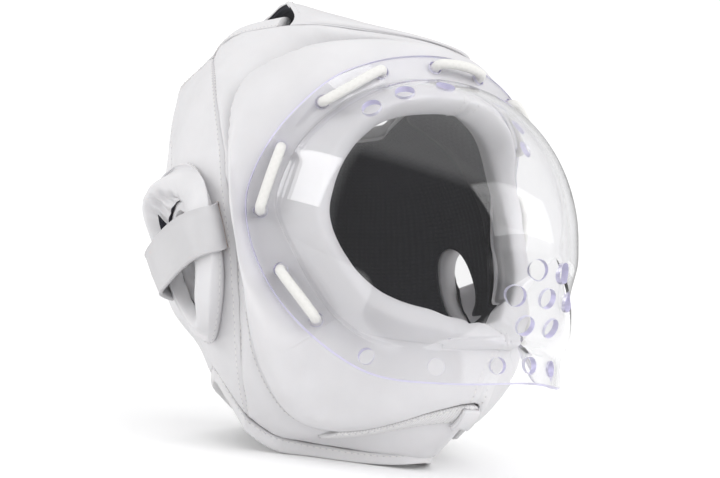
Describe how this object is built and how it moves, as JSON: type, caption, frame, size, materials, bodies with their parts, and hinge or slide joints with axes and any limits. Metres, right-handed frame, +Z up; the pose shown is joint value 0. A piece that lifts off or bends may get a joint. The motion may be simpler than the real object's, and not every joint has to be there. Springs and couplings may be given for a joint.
{
  "type": "full-face bubble helmet",
  "caption": "Padded synthetic leather head guard with an open crown, ear rings and a clear domed face shield laced to its front.",
  "frame": {"origin": "centre of the bounding box at the floor the rim rests on", "axes": "+Z up, the face along -Y, the wearer's left on +X"},
  "size_m": [0.2292, 0.263, 0.2321],
  "materials": {
    "leather": "white coated synthetic leather over foam",
    "binding": "white synthetic leather binding",
    "lining": "dark knitted lining",
    "visor": "clear moulded polycarbonate",
    "cord": "cream braided cord",
    "webbing": "grey-white stitched webbing"
  },
  "bodies": {
    "root": {"front_pad": "leather", "face_roll": "leather", "surround_panel": "leather", "side_panel_left": "leather", "side_panel_right": "leather", "back_panel": "leather", "top_flap": "leather", "chin_tab": "leather", "ear_ring_left": "leather", "ear_ring_right": "leather", "ear_strap_left": "leather", "ear_strap_right": "leather", "crown_band": "binding", "rim_band": "binding", "face_lining": "lining", "head_lining": "lining", "chin_band": "webbing", "visor": "visor", "lace_brow": "cord", "lace_temple_left": "cord", "lace_temple_right": "cord", "lace_side_left": "cord", "lace_side_right": "cord", "lace_cheek_left": "cord", "lace_cheek_right": "cord"}
  },
  "joints": []
}
